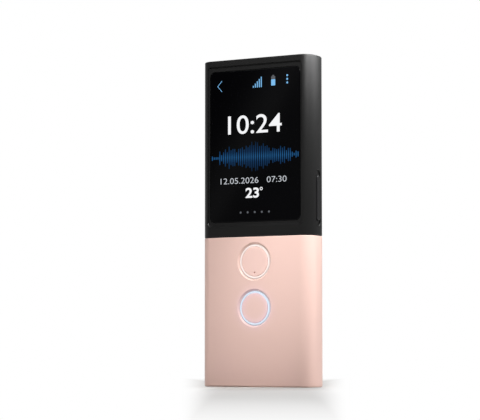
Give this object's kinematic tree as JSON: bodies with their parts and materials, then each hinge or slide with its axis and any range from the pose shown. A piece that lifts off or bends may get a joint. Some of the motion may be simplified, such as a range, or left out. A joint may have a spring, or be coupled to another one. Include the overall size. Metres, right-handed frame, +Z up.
{
  "type": "handheld voice translator",
  "caption": "Two-tone bar-shaped handheld translator: display in the upper half, round talk buttons with light rings below, side keys, rear camera and speaker.",
  "frame": {"origin": "centre of the flat base that the bar stands on", "axes": "+Z up along the bar from base to top, -Y out of the display, +X to the right seen from the front"},
  "size_m": [0.0472, 0.0132, 0.122],
  "materials": {
    "black_shell": "fine matt texture",
    "rose_shell": "satin pearl lacquer",
    "rose_button": "satin pearl lacquer",
    "black_key": "satin",
    "display_glass": "polished, with the lit display showing through",
    "lcd_glass": "polished",
    "light_guide": "translucent diffuser, lit from behind",
    "lens_glass": "coated",
    "lens_bezel": "polished",
    "flash_lens": "clear, over a yellow phosphor lamp",
    "sheet_metal": "stamped sheet",
    "screw_steel": "plated",
    "circuit_board": "solder mask",
    "flex_film": "polyimide film",
    "chip_resin": "moulded resin",
    "white_resin": "smooth",
    "gold_contact": "gold plated",
    "battery_wrap": "aluminium laminate pouch",
    "foam_tape": "foam tape",
    "acoustic_mesh": "woven mesh"
  },
  "bodies": {
    "handset": {"upper_front_housing": "black_shell", "upper_back_cover": "black_shell", "mid_frame": "sheet_metal", "antenna_strip": "flex_film", "display_glass": "display_glass", "display_adhesive": "foam_tape", "lcd_panel": "lcd_glass", "backlight_tray": "sheet_metal", "display_flex": "flex_film", "main_board": "circuit_board", "shield_can": "sheet_metal", "processor_chip": "chip_resin", "memory_chip": "chip_resin", "battery_connector": "chip_resin", "board_screw_1": "screw_steel", "board_screw_2": "screw_steel", "board_screw_3": "screw_steel", "board_screw_4": "screw_steel", "speaker_mesh": "acoustic_mesh", "speaker_box": "chip_resin", "speaker_cone": "acoustic_mesh", "camera_module": "chip_resin", "camera_ring": "lens_bezel", "camera_window": "lens_glass", "flash_led": "white_resin", "flash_lens": "flash_lens", "sim_reader": "sheet_metal", "volume_key_board": "flex_film", "volume_up_switch": "chip_resin", "volume_down_switch": "chip_resin", "power_key_board": "flex_film", "power_switch": "chip_resin", "lower_front_housing": "rose_shell", "lower_back_cover": "rose_shell", "lanyard_bar": "screw_steel", "upper_light_ring": "light_guide", "upper_dome": "gold_contact", "upper_ring_led": "white_resin", "lower_light_ring": "light_guide", "lower_dome": "gold_contact", "lower_ring_led": "white_resin", "button_board": "circuit_board", "dome_retainer": "foam_tape", "front_microphone": "gold_contact", "usb_socket": "sheet_metal", "board_flex": "flex_film", "button_board_screw_1": "screw_steel", "button_board_screw_2": "screw_steel", "button_board_screw_3": "screw_steel", "button_board_screw_4": "screw_steel", "battery": "battery_wrap", "battery_pad": "foam_tape", "battery_lead": "flex_film"},
    "upper_talk_button": {"upper_button": "rose_button"},
    "lower_talk_button": {"lower_button": "rose_button"},
    "volume_key": {"volume_rocker": "black_key"},
    "power_key": {"power_button": "black_key"},
    "sim_drawer": {"sim_tray": "black_key", "sim_card": "white_resin"}
  },
  "joints": [
    {"name": "upper_talk_press", "type": "slide", "parent": "handset", "child": "upper_talk_button", "axis": [0, 1, 0], "range_m": [0, 0.0004], "stiffness_N_per_m": 4000},
    {"name": "lower_talk_press", "type": "slide", "parent": "handset", "child": "lower_talk_button", "axis": [0, 1, 0], "range_m": [0, 0.0004], "stiffness_N_per_m": 4000},
    {"name": "volume_tilt", "type": "hinge", "parent": "handset", "child": "volume_key", "pos_m": [0.0213, 0, 0.0693], "axis": [0, 1, 0], "range_deg": [-1.6, 1.6], "stiffness_Nm_per_rad": 0.4},
    {"name": "power_press", "type": "slide", "parent": "handset", "child": "power_key", "axis": [1, 0, 0], "range_m": [0, 0.00025], "stiffness_N_per_m": 6000},
    {"name": "sim_tray_slide", "type": "slide", "parent": "handset", "child": "sim_drawer", "axis": [-1, 0, 0], "range_m": [0, 0.018]}
  ]
}
